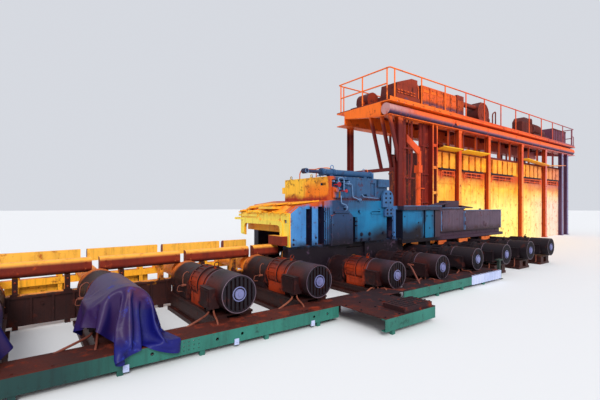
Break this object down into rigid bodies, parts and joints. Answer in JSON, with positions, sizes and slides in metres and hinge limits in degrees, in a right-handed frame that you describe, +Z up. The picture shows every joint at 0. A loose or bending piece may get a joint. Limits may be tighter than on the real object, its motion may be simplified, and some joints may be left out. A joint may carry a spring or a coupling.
{
  "type": "rolling mill stand",
  "caption": "Hot rolling mill stand on a driven roller table, with a row of roller drives in front and a service gallery over a chamber beside it.",
  "frame": {"origin": "on the floor, below the middle of the stand on the pass line, on the bed plate's underside", "axes": "+X along the rolling direction, +Y across the line away from the drives, +Z up"},
  "size_m": [29.557, 7.9, 6.7],
  "materials": {
    "dark_steel": "dirty dark steel",
    "stand_blue": "worn blue paint with rust",
    "case_cyan": "worn cyan blue paint with rust",
    "cover_blue": "worn light blue paint",
    "top_slate": "worn slate blue paint",
    "roll_steel": "worn steel",
    "heat_yellow": "heat-tinted yellow paint",
    "grey_plate": "grey-purple paint",
    "roller_scale": "scaled steel",
    "table_dark": "oily dark steel",
    "guard_rust": "rusty steel",
    "motor_brown": "dark brown paint",
    "cowl_dark": "dark paint",
    "kerb_green": "sea green paint",
    "kerb_rust": "rusty plate",
    "sheet_blue": "blue woven tarpaulin",
    "gallery_orange": "orange-red paint",
    "duct_grey": "grey-pink paint",
    "deck_rust": "rusty red paint",
    "wall_yellow": "heat-stained yellow paint",
    "panel_amber": "amber paint",
    "pipe_red": "dark red paint"
  },
  "bodies": {
    "root": {"bed_plate": "dark_steel", "housing_near": "stand_blue", "housing_far": "stand_blue", "mill_rolls": "roll_steel", "roll_chocks": "dark_steel", "adjusting_screws": "roll_steel", "entry_walls": "stand_blue", "exit_walls": "stand_blue", "gear_case": "case_cyan", "gear_covers": "cover_blue", "top_case": "top_slate", "balance_cylinder": "cover_blue", "valve_block": "top_slate", "entry_hood": "heat_yellow", "exit_case": "case_cyan", "exit_lid": "dark_steel", "exit_boxes": "grey_plate", "case_pedestals": "dark_steel", "table_rollers": "roller_scale", "roller_bearings": "table_dark", "table_frames": "table_dark", "side_guards": "guard_rust", "apron_plates": "table_dark", "coupling_guards": "motor_brown", "drive_shafts": "roll_steel", "motor_bodies": "motor_brown", "motor_cowls": "cowl_dark", "motor_boxes": "motor_brown", "motor_beds": "table_dark", "kerb_channel": "kerb_green", "kerb_plate": "kerb_rust", "step_plate": "kerb_rust", "motor_sheet": "sheet_blue", "gallery_columns": "gallery_orange", "battened_column": "gallery_orange", "edge_girder": "gallery_orange", "edge_duct": "duct_grey", "gallery_deck": "deck_rust", "handrails": "gallery_orange", "lower_wall": "wall_yellow", "panel_wall": "panel_amber", "window_frame": "gallery_orange", "canopies": "panel_amber", "knee_braces": "gallery_orange", "pipe_columns": "pipe_red", "lift_cylinder": "gallery_orange", "deck_cabinet": "deck_rust", "deck_blowers": "dark_steel"}
  },
  "joints": []
}
